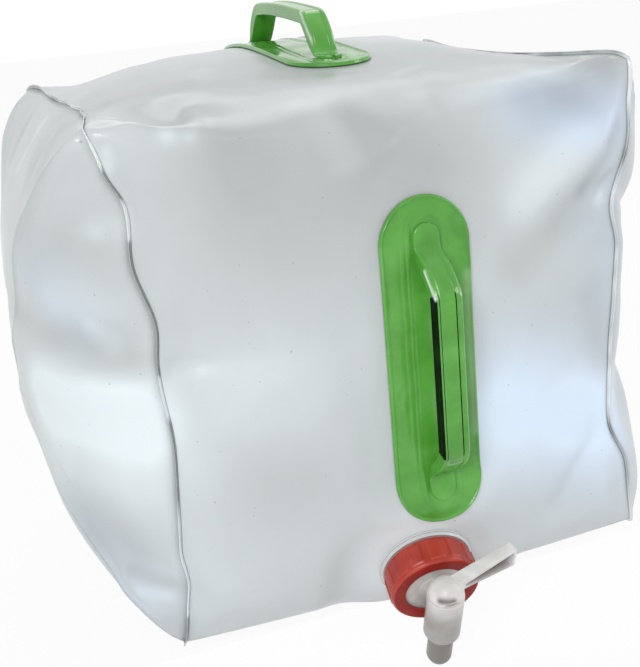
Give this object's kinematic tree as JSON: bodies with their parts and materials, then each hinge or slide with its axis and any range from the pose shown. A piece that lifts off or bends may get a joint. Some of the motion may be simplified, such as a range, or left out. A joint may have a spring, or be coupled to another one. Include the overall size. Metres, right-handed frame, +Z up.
{
  "type": "collapsible water carrier",
  "caption": "Soft clear film water carrier, box-shaped when full, with two welded grips and a screw-on tap with a turning lever at its lower front edge.",
  "frame": {"origin": "centre of the flat base that the filled bag rests on", "axes": "+Z up, the front with the tap faces -Y, +X to the right seen from the front"},
  "size_m": [0.3651, 0.3239, 0.3513],
  "materials": {
    "clear_film": "smooth flexible film, milky clear",
    "green_vinyl": "glossy flexible vinyl, slightly see-through",
    "clear_vinyl": "moulded flexible vinyl, cloudy",
    "red_plastic": "moulded, satin gloss",
    "white_plastic": "moulded, satin",
    "seal_rubber": "soft black seal"
  },
  "bodies": {
    "bag": {"wrap_panel": "clear_film", "left_side_panel": "clear_film", "right_side_panel": "clear_film", "spout_neck": "clear_vinyl", "front_handle_base": "green_vinyl", "front_handle_strap": "green_vinyl"},
    "top_grip": {"top_handle_base": "green_vinyl", "top_handle_strap": "green_vinyl"},
    "tap": {"tap_body": "white_plastic", "neck_gasket": "seal_rubber"},
    "ring": {"cap_ring": "red_plastic"},
    "lever": {"lever_plug": "white_plastic", "upper_o_ring": "seal_rubber", "lower_o_ring": "seal_rubber"}
  },
  "joints": [
    {"name": "tap_draw", "type": "slide", "parent": "bag", "child": "tap", "axis": [-0.1254, -0.9153, -0.3827], "range_m": [0, 0.0121]},
    {"name": "ring_turn", "type": "hinge", "parent": "tap", "child": "ring", "pos_m": [0.0037, -0.1337, 0.0272], "axis": [-0.1254, -0.9153, -0.3827], "range_deg": [0, 1080]},
    {"name": "lever_turn", "type": "hinge", "parent": "tap", "child": "lever", "pos_m": [-0.00044, -0.16391, 0.01457], "axis": [-0.0519, -0.3791, 0.9239], "range_deg": [-90, 0]},
    {"name": "collapse", "type": "slide", "parent": "bag", "child": "top_grip", "axis": [0, 0, -1], "range_m": [0, 0.12], "deforming": ["wrap_panel", "left_side_panel", "right_side_panel", "front_handle_base", "front_handle_strap"]}
  ],
  "couplings": [
    {"joint": "tap_draw", "follows": "ring_turn", "m_per_rad": 0.00063662}
  ]
}
